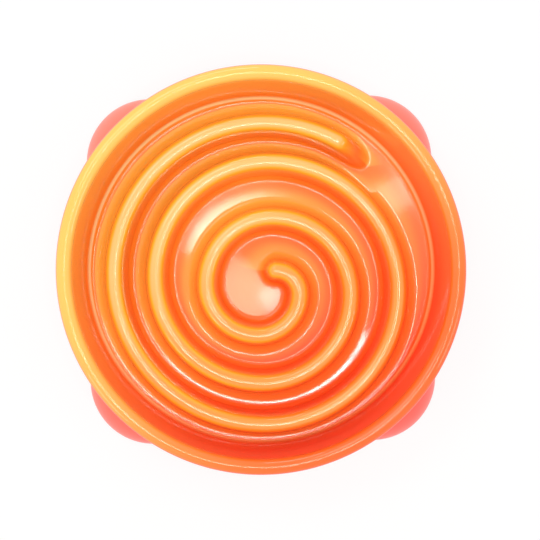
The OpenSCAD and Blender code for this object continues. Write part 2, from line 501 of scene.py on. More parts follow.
def lay_floor(bm: bmesh.types.BMesh, level: float) -> None:
    """Fill a level floor between its round outer edge and the edge of the ridge.

    Args:
        bm: The mesh, whose open edges at that height bound the floor.
        level: The floor's height.
    """
    edges = [e for e in bm.edges if e.is_boundary and all(abs(v.co.z - level) < SAME for v in e.verts)]
    bounding = {v for e in edges for v in e.verts}
    verts = [v for v in bm.verts if v in bounding]
    number = {v: i for i, v in enumerate(verts)}
    walls = {frozenset((number[e.verts[0]], number[e.verts[1]])) for e in edges}
    flat = [v.co.to_2d() for v in verts]
    whole_hull, closest = 0, 1e-9
    lines = [tuple(wall) for wall in walls]
    _, _, faces, source, _, _ = delaunay_2d_cdt(flat, lines, [], whole_hull, closest)
    faces = [tuple(source[i][0] for i in face) for face in faces]
    beside: dict[frozenset[int], list[int]] = {}
    for k, face in enumerate(faces):
        for a, b in zip(face, face[1:] + face[:1]):
            beside.setdefault(frozenset((a, b)), []).append(k)
    # Spread from the outer edge inwards, but not across the ridge's edge
    outermost = max(range(len(verts)), key=lambda i: flat[i].length)
    reach = [k for pair, near in beside.items() if outermost in pair and pair in walls for k in near]
    floor = set(reach)
    while reach:
        face = faces[reach.pop()]
        for a, b in zip(face, face[1:] + face[:1]):
            pair = frozenset((a, b))
            fresh = [k for k in beside[pair] if k not in floor] if pair not in walls else []
            floor.update(fresh)
            reach.extend(fresh)
    for k in floor:
        bm.faces.new([verts[i] for i in faces[k]])


def frame_of(angle: float) -> Matrix:
    """Turn a piece that was drawn along +X to an angle."""
    return Matrix.Rotation(math.radians(angle), 4, "Z")


def add_strip(bm: bmesh.types.BMesh, rows: Sequence[Sequence[Point]], turn: Matrix) -> None:
    """Skin rows of points, each of which is a closed outline, and cap both ends.

    Args:
        bm: The mesh to build in.
        rows: The outlines in order, all with the same number of points.
        turn: Where the piece goes.
    """
    rings = [[bm.verts.new(turn @ Vector(point)) for point in row] for row in rows]
    faces = []
    for a, b in zip(rings, rings[1:]):
        for i in range(len(a)):
            j = (i + 1) % len(a)
            faces.append(bm.faces.new((a[i], a[j], b[j], b[i])))
    faces += [bm.faces.new(rings[0]), bm.faces.new(rings[-1][::-1])]
    bmesh.ops.recalc_face_normals(bm, faces=faces)


def add_turned(bm: bmesh.types.BMesh, outline: Sequence[Pair], place: Pair, turn: Matrix) -> None:
    """Turn an outline of radius and height around an upright axis.

    Args:
        bm: The mesh to build in.
        outline: The outline, from one end near the axis to the other.
        place: Where the axis stands, before the turn.
        turn: Where the piece goes.
    """
    steps = 20
    turns = [2.0 * math.pi * i / steps for i in range(steps)]
    rings = [[(place[0] + r * math.cos(t), place[1] + r * math.sin(t), z) for t in turns]
             for r, z in outline]
    add_strip(bm, rings, turn)


def piece_from(bm: bmesh.types.BMesh, name: str, material: bpy.types.Material) -> bpy.types.Object:
    """Turn a finished mesh into a smooth piece.

    Args:
        bm: The mesh, which is used up.
        name: The piece's name.
        material: Its finish.

    Returns:
        The piece.
    """
    for face in bm.faces:
        face.smooth = True
    mesh = bpy.data.meshes.new(name)
    bm.to_mesh(mesh)
    bm.free()
    mesh.materials.clear()
    mesh.materials.append(material)
    piece = bpy.data.objects.new(name, mesh)
    bpy.context.scene.collection.objects.link(piece)
    return piece


@dataclass(frozen=True)
class Foot:
    """One flared foot: a dome about its own axis, cut by the sweep that leaves the skirt."""

    axis_r: float = 113.5 * MM
    radius: float = 46.5 * MM
    low: float = 1.5 * MM
    dome_power: float = 1.75
    sweep_r: float = 36.76 * MM
    sweep_x: float = 140.97 * MM
    sweep_z: float = 44.0 * MM
    sweep_start: float = 14.0

    def dome(self, z: np.ndarray, inset: float) -> np.ndarray:
        """Give the dome's radius at a height.

        Args:
            z: Height above the table.
            inset: How far inside the outer surface the result lies.

        Returns:
            The distance from the dome's own axis.
        """
        height = np.clip((z - self.low) / (self.radius - inset), 0.0, 1.0)
        return (self.radius - inset) * (1.0 - height ** self.dome_power) ** (1.0 / self.dome_power)

    def outline(self, off: np.ndarray, z: np.ndarray, inset: float) -> np.ndarray:
        """Give how far out the foot reaches at an angle off its middle and a height.

        Args:
            off: Angle off the foot's middle, in radians.
            z: Height above the table.
            inset: How far inside the outer surface the result lies.

        Returns:
            The distance from the bowl's axis, or 0 where the foot isn't.
        """
        reach = self.dome(z, inset) ** 2 - (self.axis_r * np.sin(off)) ** 2
        near = np.abs(off) < math.pi / 4.0
        round_r = self.axis_r * np.cos(off) + np.sqrt(np.maximum(reach, 0.0))
        round_r = np.where((reach > 0.0) & near, round_r, 0.0)
        start = math.radians(self.sweep_start)
        centre_x = self.sweep_x + self.sweep_r * math.cos(start)
        centre_z = self.sweep_z + self.sweep_r * math.sin(start)
        big = self.sweep_r + inset
        drop = np.clip((centre_z - z) / big, -1.0, 1.0)
        sweep = centre_x - big * np.sqrt(1.0 - drop ** 2)
        return np.where(drop < 1.0, np.minimum(round_r, sweep), round_r)


@dataclass(frozen=True)
class FootFittings:
    """What a foot has inside: the curtain wall around it and two bosses for the pad's plugs.

    The curtain runs along the dome on both sides and along an arc about the bowl's axis at
    the back. Its back part ends below the floor, and its sides rise to the skirt.
    """

    foot: Foot = Foot()
    wall: float = 3.0 * MM
    back_r: float = 118.0 * MM
    front_r: float = 136.1 * MM
    front_lean: float = 7.0
    back_share: float = 0.55
    back_top: float = 14.5 * MM
    side_rise: float = 16.0 * MM
    rise_start_r: float = 124.0 * MM
    rise_end_r: float = 131.0 * MM
    steps: int = 24
    levels: int = 4
    lip: tuple[Pair, ...] = ((0.0, 0.6), (0.15, 0.15), (0.6, 0.0), (2.4, 0.0), (2.85, 0.15), (3.0, 0.6))
    boss_circle_r: float = 134.0 * MM
    boss_angle: float = 7.56
    boss_r: float = 5.5 * MM
    boss_low: float = 3.0 * MM
    boss_top: float = 28.0 * MM
    boss_edge: float = 0.4 * MM
    bore_r: float = 3.0 * MM
    bore_top: float = 16.0 * MM
    near_axis: float = 0.05 * MM

    def curtain_point(self, share: float, inset: float, z: float) -> Point:
        """Find a point on the curtain.

        Args:
            share: How far along the curtain, from -1 at one end to 1 at the other.
            inset: How far inside the curtain's outer face.
            z: The height.

        Returns:
            The point, in the frame of a foot that points along +X.
        """
        axis, back = self.foot.axis_r, self.back_r + inset
        dome = float(self.foot.dome(np.float64(z), inset))
        corner = math.acos((back ** 2 - axis ** 2 - dome ** 2) / (2.0 * axis * dome))
        side = 1.0 if share >= 0.0 else -1.0
        if abs(share) <= self.back_share:
            last = math.atan2(dome * math.sin(corner), axis + dome * math.cos(corner))
            x, y = polar(back, last * abs(share) / self.back_share)
            return (x, side * y, z)
        front = self.front_r + z * math.tan(math.radians(self.front_lean))
        end = math.acos((front ** 2 - axis ** 2 - dome ** 2) / (2.0 * axis * dome))
        on_side = (abs(share) - self.back_share) / (1.0 - self.back_share)
        x, y = polar(dome, corner + (end - corner) * on_side)
        return (axis + x, side * y, z)

    def curtain(self) -> list[list[Point]]:
        """List the curtain's sections from one end to the other.

        Returns:
            One closed outline for each place along the curtain.
        """
        lip_top = self.lip[0][1] * MM
        rows = []
        for i in range(-self.steps, self.steps + 1):
            share = i / self.steps
            x, y, _ = self.curtain_point(share, 0.0, self.back_top)
            risen = float(smooth_step(self.rise_start_r, self.rise_end_r, np.float64(math.hypot(x, y))))
            top = self.back_top + self.side_rise * risen
            room = top - self.foot.low - lip_top
            climb = [self.foot.low + lip_top + room * k / self.levels for k in range(1, self.levels + 1)]
            outline = [(0.0, z) for z in climb[::-1]]
            outline += [(inset * MM, self.foot.low + z * MM) for inset, z in self.lip]
            outline += [(self.wall, z) for z in climb]
            rows.append([self.curtain_point(share, inset, z) for inset, z in outline])
        return rows

    def boss(self) -> list[Pair]:
        """List radius and height along a boss, from the top of its bore round to its own top.

        Returns:
            The points in order.
        """
        edge = self.boss_edge
        return [(self.near_axis, self.bore_top), (self.bore_r - edge, self.bore_top),
                (self.bore_r, self.bore_top - edge), (self.bore_r, self.boss_low + edge),
                (self.bore_r + edge, self.boss_low), (self.boss_r - edge, self.boss_low),
                (self.boss_r, self.boss_low + edge), (self.boss_r, self.boss_top),
                (self.near_axis, self.boss_top)]

    def add_to(self, bm: bmesh.types.BMesh, angle: float) -> None:
        """Build one foot's fittings.

        Args:
            bm: The mesh to build in.
            angle: Where the foot points.
        """
        turn = frame_of(angle)
        add_strip(bm, self.curtain(), turn)
        for side in (-1.0, 1.0):
            place = polar(self.boss_circle_r, math.radians(side * self.boss_angle))
            add_turned(bm, self.boss(), place, turn)


@dataclass(frozen=True)
class RidgeSection:
    """Section that is swept along the volute, of the ridge or of the hollow below it."""

    base_z: float
    crest: float
    crown: float
    shoulder: float
    foot_round: float
    tight_round: float
    round_steps: int
    nose_rows: int
    tail_rows: int
    rise: float = 36.0 * MM
    lean: float = 6.0
    tail_slope: float = 0.5
    tail_corner: float = 0.78

    def inputs(self) -> dict[str, object]:
        """Give the tree's inputs.

        Returns:
            The inputs by name.
        """
        return {
            "Floor Height": self.base_z,
            "Ridge Rise": self.rise,
            "Crest Half Width": self.crest,
            "Crown": self.crown,
            "Shoulder Radius": self.shoulder,
            "Foot Radius": self.foot_round,
            "Tight Foot Radius": self.tight_round,
            "Flank Lean": math.radians(self.lean),
            "Round Steps": self.round_steps,
            "Nose Rows": self.nose_rows,
            "Tail Rows": self.tail_rows,
            "Tail Slope": self.tail_slope,
            "Tail Corner": self.tail_corner,
        }


@dataclass
class BowlMoulding:
    """The bowl: floor, spiral ridge, wall, rolled rim, skirt and four feet in one skin."""

    volute: Volute = Volute()
    ridge: RidgeSection = RidgeSection(
        base_z=16.0 * MM, crest=5.15 * MM, crown=0.35 * MM, shoulder=4.7 * MM, foot_round=7.0 * MM,
        tight_round=1.8 * MM, round_steps=8, nose_rows=18, tail_rows=26)
    hollow: RidgeSection = RidgeSection(
        base_z=13.0 * MM, crest=2.6 * MM, crown=0.1 * MM, shoulder=1.0 * MM, foot_round=2.0 * MM,
        tight_round=1.5 * MM, round_steps=3, nose_rows=10, tail_rows=12)
    foot: Foot = Foot()
    fittings: FootFittings = FootFittings()
    turns: int = 480
    wall: float = 3.0 * MM
    # The floor and the inner wall
    floor_r: float = 125.0 * MM
    floor_edge: float = 0.6 * MM
    floor_gap: float = 0.25 * MM
    flank_base: float = 8.93 * MM
    narrow_round: float = 4.5 * MM
    wall_lean: float = 12.0
    wall_round: float = 5.0 * MM
    wall_round_steps: int = 9
    least_wall_round: float = 1.5 * MM
    wall_heights: tuple[float, ...] = (23.0 * MM, 30.0 * MM, 45.0 * MM, 54.0 * MM)
    # The rolled rim
    rim_r: float = 145.0 * MM
    roll_r: float = 5.5 * MM
    roll_z: float = 60.5 * MM
    roll_start: float = 190.0
    roll_end: float = -62.0
    roll_steps: int = 26
    below_roll: float = 3.2 * MM
    # The skirt and its feet
    rim_proud: float = 1.5 * MM
    skirt_lean: float = 7.0
    skirt_low: float = 10.0 * MM
    skirt_top_share: float = 0.985
    skirt_blend: float = 2.5 * MM
    skirt_shares: tuple[float, ...] = (
        0.0, 0.02, 0.05, 0.09, 0.14, 0.2, 0.26, 0.32, 0.38, 0.44, 0.5, 0.56, 0.62, 0.68, 0.74,
        0.79, 0.84, 0.88, 0.92, 0.95, 0.975, 1.0)
    lip: float = 0.5 * MM
    lip_corner: tuple[Pair, ...] = ((0.15 * MM, 0.35 * MM), (0.6 * MM, 0.5 * MM))
    foot_half: float = 18.2
    foot_blend: float = 1.3
    # The underside
    rim_gap: float = 0.5 * MM
    gap_round: float = 0.6 * MM
    back_start: float = 0.8 * MM
    back_heights: tuple[float, ...] = (50.0 * MM, 35.0 * MM, 22.0 * MM)
    back_round: float = 4.0 * MM
    back_round_steps: int = 6
    back_edge: float = 6.0 * MM

    def wall_x(self, z: float) -> float:
        """Give the radius of the inner wall's food side at a height."""
        return self.floor_r + (z - self.ridge.base_z) * math.tan(math.radians(self.wall_lean))

    def skirt_x(self, z: np.ndarray) -> np.ndarray:
        """Give the radius of the skirt's outer side at a height."""
        return self.rim_r - self.rim_proud - (self.roll_z - z) * math.tan(math.radians(self.skirt_lean))

    def angles(self) -> np.ndarray:
        """Give the angles at which the turned section stands, in radians."""
        return np.arange(self.turns) * 2.0 * math.pi / self.turns

    def even(self, points: Iterable[Pair]) -> list[Row]:
        """Give points of the section that are the same all round."""
        return [(np.full(self.turns, x), np.full(self.turns, z)) for x, z in points]

    def food_side(self, ridge_reach: np.ndarray) -> list[Row]:
        """Give the section from the floor's edge up the wall and over the rolled rim.

        Args:
            ridge_reach: How far out the ridge's foot reaches at each angle.

        Returns:
            Radius and height at each angle, for each point of the section.
        """
        lean = math.radians(self.wall_lean)
        floor_z = self.ridge.base_z
        room = self.floor_r - self.floor_edge - self.floor_gap - ridge_reach
        widest = room / math.tan(math.radians(45.0 - self.wall_lean / 2.0))
        bend = np.clip(widest, self.least_wall_round, self.wall_round)
        round_x = self.floor_r + bend * math.tan(lean) - bend / math.cos(lean)
        rows = [(round_x - self.floor_edge, np.full(self.turns, floor_z))]
        for x, z in arc_points((0.0, 1.0), 1.0, -90.0, -self.wall_lean, self.wall_round_steps):
            rows.append((round_x + bend * x, floor_z + bend * z))
        heights = (*self.wall_heights, self.roll_z - self.below_roll)
        rows += self.even((self.wall_x(z), z) for z in heights)
        bead = (self.rim_r - self.roll_r, self.roll_z)
        roll = arc_points(bead, self.roll_r, self.roll_start, self.roll_end, self.roll_steps)
        return rows + self.even(roll)

    def skirt(self, inset: float, lip: float, shares: Sequence[float]) -> list[Row]:
        """Give one face of the skirt and its feet.

        Args:
            inset: How far inside the outer face it lies.
            lip: How far above the lower edge it ends.
            shares: Where its points lie, from 0 at the rim to 1 at the lower edge.

        Returns:
            Radius and height at each angle, for each point of the face.
        """
        quarter = math.pi / 2.0
        first = math.radians(min(FOOT_ANGLES.values()))
        off = (self.angles() - first + quarter / 2.0) % quarter - quarter / 2.0
        half, blend = math.radians(self.foot_half), math.radians(self.foot_blend)
        foot_share = 1.0 - smooth_step(half - blend, half + blend, np.abs(off))
        low = self.skirt_low + (self.foot.low - self.skirt_low) * foot_share
        top = self.roll_z - self.roll_r * self.skirt_top_share
        rows = []
        for share in shares:
            z = top + (low + lip - top) * share
            r = smooth_max(self.foot.outline(off, z, inset), self.skirt_x(z) - inset, self.skirt_blend)
            rows.append((r, z))
        return rows

    def outside(self) -> list[Row]:
        """Give the section from the rim down to the lower edge and up again inside.

        Returns:
            Radius and height at each angle, for each point of the section.
        """
        rows = self.skirt(0.0, self.lip, self.skirt_shares)
        low_r, low_z = rows[-1]
        rows += [(low_r - inward, low_z - down) for inward, down in self.lip_corner]
        return rows + self.skirt(self.wall, 0.0, self.skirt_shares[::-2])

    def underside(self) -> list[Row]:
        """Give the section below the rim, down the back of the wall and below the floor.

        Returns:
            Radius and height at each angle, for each point of the section.
        """
        across = self.wall / math.cos(math.radians(self.wall_lean))
        gap_top = self.roll_z - self.roll_r + self.rim_gap
        gap_r = self.skirt_x(gap_top) - self.wall
        rows = self.even([(gap_r, gap_top - self.gap_round), (gap_r - self.gap_round, gap_top),
                          (self.wall_x(gap_top) + across + self.gap_round, gap_top)])
        heights = (gap_top - self.back_start, *self.back_heights)
        rows += self.even((self.wall_x(z) + across, z) for z in heights)
        under = self.hollow.base_z
        corner_x = self.wall_x(under) + across
        centre = (corner_x - self.back_round, under + self.back_round)
        rows += self.even(arc_points(centre, self.back_round, 0.0, -90.0, self.back_round_steps))
        return rows + self.even([(corner_x - self.back_edge, under)])

    def ridge_reach(self, bm: bmesh.types.BMesh) -> np.ndarray:
        """Measure how far out the ridge's foot reaches at each angle of the turned wall.

        Args:
            bm: The mesh, so far with the swept ridge alone.

        Returns:
            The distances from the bowl's axis.
        """
        reach = np.zeros(self.turns)
        parts = (0.0, 0.25, 0.5, 0.75)
        fill, soften = range(-4, 5), range(-3, 4)
        for edge in bm.edges:
            if edge.is_boundary and abs(edge.verts[0].co.z - self.ridge.base_z) < SAME:
                for share in parts:
                    spot = edge.verts[0].co.lerp(edge.verts[1].co, share)
                    slot = round(math.atan2(spot.y, spot.x) / (2.0 * math.pi) * self.turns) % self.turns
                    reach[slot] = max(reach[slot], spot.to_2d().length)
        spread = np.max([np.roll(reach, shift) for shift in fill], axis=0)
        return np.mean([np.roll(spread, shift) for shift in soften], axis=0)

    def add_turned_skin(self, bm: bmesh.types.BMesh) -> None:
        """Turn the section around the bowl's axis.

        Args:
            bm: The mesh to build in, so far with the swept ridge alone.
        """
        cos, sin = np.cos(self.angles()), np.sin(self.angles())
        section = self.food_side(self.ridge_reach(bm)) + self.outside() + self.underside()
        rings = [[bm.verts.new((r[i] * cos[i], r[i] * sin[i], z[i])) for i in range(self.turns)]
                 for r, z in section]
        for a, b in zip(rings, rings[1:]):
            for i in range(self.turns):
                j = (i + 1) % self.turns
                bm.faces.new((a[i], a[j], b[j], b[i]))

    def foot_rounding(self, turn: float, side: int) -> float:
        """Give the radius of the round at the ridge's foot, less where its neighbour is close.

        The outward round is wide and the inward one is tight, so a channel is shallow
        beside its inner ridge and deep beside its outer one.

        Args:
            turn: How far the path has turned there.
            side: 1 for the outward flank, -1 for the inward one.

        Returns:
            The radius.
        """
        tail_start, tail_reach, past_tail = 30.0, 18.0, 19.0
        wall_share, search = 0.66, range(-20, 21, 5)
        spare, spread = 0.3 * MM, math.tan(math.radians(42.0))
        length = self.volute.length()
        turn += tail_reach * float(smooth_step(-tail_start, 0.0, np.float64(turn - length)))
        place, out = self.volute.at(turn)
        beside = turn + 360.0 * side
        wide, tight = self.ridge.foot_round, self.ridge.tight_round
        if beside < 0.0:
            return self.narrow_round
        taken = self.floor_edge + spare
        if beside > length + past_tail:
            room = (self.floor_r - (place + out * self.flank_base).length) * wall_share
        else:
            near = [beside + k for k in search if beside + k >= 0.0]
            gap = min((self.volute.at(k)[0] - place).length for k in near) - 2.0 * self.flank_base
            inward_share = self.narrow_round / (wide + self.narrow_round)
            room = max(gap * inward_share, tight * spread + taken)
            if side > 0:
                room = gap - room
        return min(max((room - taken) / spread, tight), wide if side > 0 else self.narrow_round)

    def sweep(self, sheet: GeometrySheet, material: bpy.types.Material,
              section: RidgeSection) -> bpy.types.Mesh:
        """Carry a section along the volute.

        Args:
            sheet: The ridge's tree.
            material: The bowl's finish.
            section: The section of the ridge or of its hollow.

        Returns:
            The skin as a mesh.
        """
        turns = self.volute.turns()
        places = [self.volute.at(turn) for turn in turns]
        path = bpy.data.meshes.new("path")
        links = [(i, i + 1) for i in range(len(places) - 1)]
        path.from_pydata([tuple(place) for place, _ in places], links, [])
        layer = path.attributes.new("outward", "FLOAT_VECTOR", "POINT")
        layer.data.foreach_set("vector", [c for _, out in places for c in out])
        for name, side in (("foot_outside", 1), ("foot_inside", -1)):
            rounds = [section.foot_round] * len(turns)
            if section is self.ridge:
                rounds = [self.foot_rounding(turn, side) for turn in turns]
            path.attributes.new(name, "FLOAT", "POINT").data.foreach_set("value", rounds)
        return apply_tree(sheet, path, section.inputs() | {
            "Floor Edge": self.floor_edge, "Tail Bend Radius": self.volute.radii[-1],
            "Material": material})

    def build(self, sheet: GeometrySheet, material: bpy.types.Material) -> bpy.types.Object:
        """Join the swept ridge, the turned wall and the flat floors to one closed skin.

        Args:
            sheet: The ridge's tree.
            material: The bowl's finish.

        Returns:
            The bowl.
        """
        bm = bmesh.new()
        for section in (self.ridge, self.hollow):
            mesh = self.sweep(sheet, material, section)
            bm.from_mesh(mesh)
            bpy.data.meshes.remove(mesh)
        bmesh.ops.remove_doubles(bm, verts=bm.verts, dist=2.0 * SAME)
        self.add_turned_skin(bm)
        bmesh.ops.dissolve_degenerate(bm, dist=0.5 * SAME, edges=bm.edges)
        for section in (self.ridge, self.hollow):
            lay_floor(bm, section.base_z)
        bmesh.ops.recalc_face_normals(bm, faces=bm.faces)
        for angle in FOOT_ANGLES.values():
            self.fittings.add_to(bm, angle)
        log.info("bowl: %d open edges", sum(1 for e in bm.edges if not e.is_manifold))
        piece = piece_from(bm, "bowl_moulding", material)
        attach(piece, "root")
        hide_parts("bowl")
        return piece


def grip_tree() -> GeometrySheet:
    """Draw the tree that sets a row of low grip bars along the underside of a pad.

    Returns:
        The tree.
    """
    sheet = GeometrySheet("grip bars along a pad")
    count = sheet.ask("Bar Count", "Int")
    ring_r = sheet.ask("Ring Radius")
    middle = sheet.ask("Middle Angle")
    sweep = sheet.ask("Sweep")
    size = sheet.ask("Bar Size", "Vector")
    material = sheet.ask("Material", "Material")
    number = sheet.out("InputIndex")
    angle = (number / (count - 1.0) - 0.5) * sweep + middle
    _, _, lift = sheet.split(size)
    spot = sheet.place(sheet.math("COSINE", angle) * ring_r, sheet.math("SINE", angle) * ring_r, lift)
    points = sheet.out("SetPosition", sheet.out("MeshLine", count), None, spot)
    segments, rings = 12, 8
    bar = sheet.out("Transform", sheet.out("MeshUVSphere", segments, rings, 1.0), None, None, size)
    turned = sheet.place(0.0, 0.0, angle)
    bars = sheet.out("InstanceOnPoints", points, None, bar, None, None, turned)
    sheet.finish(sheet.out("SetShadeSmooth", sheet.out("RealizeInstances", bars)), material)
    return sheet


@dataclass
class FootPad:
    """One soft pad: a curved strip with round edges, grip bars below and two ribbed plugs.

    Its layers give how far inside the outline and how high each lies, and the plug's
    outline gives radius and height above the strip, all in millimetres.
    """

    name: str
    angle: float
    circle_r: float = 134.0 * MM
    width: float = 16.0 * MM
    sweep: float = 18.0
    side_steps: int = 16
    end_steps: int = 12
    layers: tuple[Pair, ...] = (
        (2.9, 0.65), (2.6, 0.6), (2.35, 0.35), (2.1, 0.08), (1.8, 0.0), (0.9, 0.0), (0.5, 0.12),
        (0.15, 0.4), (0.0, 0.85), (0.0, 2.3), (0.1, 2.7), (0.35, 2.92), (0.8, 3.0), (2.5, 3.0))
    plug_angle: float = 7.56
    plug: tuple[Pair, ...] = (
        (0.05, -0.5), (2.8, -0.5), (2.8, 6.6), (2.95, 7.0), (3.0, 7.6), (3.0, 8.2), (2.8, 8.6),
        (2.4, 9.1), (1.7, 9.45), (0.05, 9.5))
    bar_count: int = 11
    bar_size: Point = (5.0 * MM, 0.75 * MM, 0.6 * MM)

    def outline(self, inset: float) -> list[Pair]:
        """Draw the strip's outline, along +X.

        Args:
            inset: How far inside the full outline.

        Returns:
            The points, anticlockwise.
        """
        half = self.width / 2.0 - inset
        steps = self.side_steps
        side = [math.radians(self.sweep * (i / steps - 0.5)) for i in range(steps + 1)]
        end = polar(self.circle_r, side[-1])
        cap = [side[-1] + math.pi * i / self.end_steps for i in range(1, self.end_steps)]
        round_end = [(end[0] + half * math.cos(a), end[1] + half * math.sin(a)) for a in cap]
        outer = [polar(self.circle_r + half, a) for a in side]
        inner = [polar(self.circle_r - half, a) for a in side[::-1]]
        return outer + round_end + inner + [(x, -y) for x, y in round_end[::-1]]

    def build(self, sheet: GeometrySheet, material: bpy.types.Material) -> bpy.types.Object:
        """Build the pad.

        Args:
            sheet: The grip bars' tree.
            material: The pads' finish.

        Returns:
            The pad.
        """
        bm = bmesh.new()
        turn = frame_of(self.angle)
        rows = [[(x, y, z * MM) for x, y in self.outline(inset * MM)] for inset, z in self.layers]
        add_strip(bm, rows, turn)
        top = self.layers[-1][1]
        for side in (-1.0, 1.0):
            place = polar(self.circle_r, math.radians(side * self.plug_angle))
            add_turned(bm, [(r * MM, (top + z) * MM) for r, z in self.plug], place, turn)
        bars = apply_tree(sheet, bpy.data.meshes.new("bars"), {
            "Bar Count": self.bar_count, "Bar Size": self.bar_size, "Ring Radius": self.circle_r,
            "Middle Angle": math.radians(self.angle), "Sweep": math.radians(self.sweep),
            "Material": material})
        bm.from_mesh(bars)
        bpy.data.meshes.remove(bars)
        bmesh.ops.triangulate(bm, faces=[face for face in bm.faces if len(face.verts) > 4])
        piece = piece_from(bm, f"pad_{self.name}", material)
        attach(piece, "root")
        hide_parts(f"foot_pad_{self.name}")
        return piece


def new_group(name: str, inputs: Sequence[tuple[str, str, object]],
              outputs: Sequence[tuple[str, str]]) -> tuple[Sheet, bpy.types.Node, bpy.types.Node]:
    """Start a shader node group.

    Args:
        name: The group's name.
        inputs: Name, socket type and default of each input.
        outputs: Name and socket type of each output.

    Returns:
        The sheet, the node of its inputs and the node of its outputs.
    """
    tree = bpy.data.node_groups.new(name, "ShaderNodeTree")
    for label, kind, value in inputs:
        socket = tree.interface.new_socket(label, in_out="INPUT", socket_type="NodeSocket" + kind)
        socket.default_value = value
    for label, kind in outputs:
        tree.interface.new_socket(label, in_out="OUTPUT", socket_type="NodeSocket" + kind)
    return Sheet(tree), tree.nodes.new("NodeGroupInput"), tree.nodes.new("NodeGroupOutput")


def new_material(name: str) -> tuple[Sheet, bpy.types.Material, bpy.types.Node]:
    """Start a material.

    Args:
        name: The material's name.

    Returns:
        Its sheet, the material and its Principled shader.
    """
    material = bpy.data.materials.new(name)
    material.use_nodes = True
    return Sheet(material.node_tree), material, material.node_tree.nodes["Principled BSDF"]


# Tones of the moulding: the crest, rim and ramp tones are painted light, the crest and wall highlights
# are painted highlights, the flank tone is painted shade and light, and each red twin is the painted
# shaded side of the bowl
TONES = ("Crest", "Crest Line", "Rim", "Wall Line", "Flank", "Ramp", "Floor", "Outside")


@dataclass(frozen=True)
class ToneBands:
    """Where each tone starts and where it is full.

    A slant weighs x and y. A place on it, a distance from the bowl's axis or a height is in
    metres.
    """

    # Scale, detail and roughness of the mottle's noise
    mottle_noise: Point = (11.0, 3.0, 0.5)
    mottle_strength: float = 0.5
    mottle_shift: float = 0.06
    # From the painted lit, yellow side to the painted shaded, red one, low down, on the rim and on the
    # crests
    low_slant: Pair = (0.55, -0.83)
    rim_slant: Pair = (0.67, -0.74)
    crest_slant: Pair = (0.87, -0.5)
    red_low: Pair = (-0.12, 0.13)
    red_line: Pair = (-0.06, 0.03)
    red_rim: Pair = (-0.11, 0.14)
    red_crest: Pair = (-0.012, 0.09)
    # From the floor up: painted shade and light on the flanks, painted light on the crests, the rim and
    # the outward foot rounds, and painted highlight lines along the crests and at the wall's foot
    wall: Pair = (0.118, 0.124)
    flank: Pair = (0.0168, 0.026)
    crest: Pair = (0.030, 0.0504)
    rim: Pair = (0.0525, 0.0645)
    ramp_side: Pair = (0.1, 1.0)
    ramp: Pair = (0.034, 0.019)
    crest_line: Pair = (0.0508, 0.05195)
    wall_line_in: Pair = (0.1234, 0.1246)
    wall_line_out: Pair = (0.1266, 0.1254)
    wall_line_top: Pair = (0.024, 0.021)
    wall_line_low: Pair = (0.0145, 0.0155)
    # The outside of the skirt and the feet
    skirt_lean: float = 7.0
    skirt_r: float = 0.1435
    skirt_z: float = 0.0605
    skirt: Pair = (-0.0018, -0.0006)
    rim_end: Pair = (0.0638, 0.0621)
    underside: Pair = (0.0129, 0.0124)


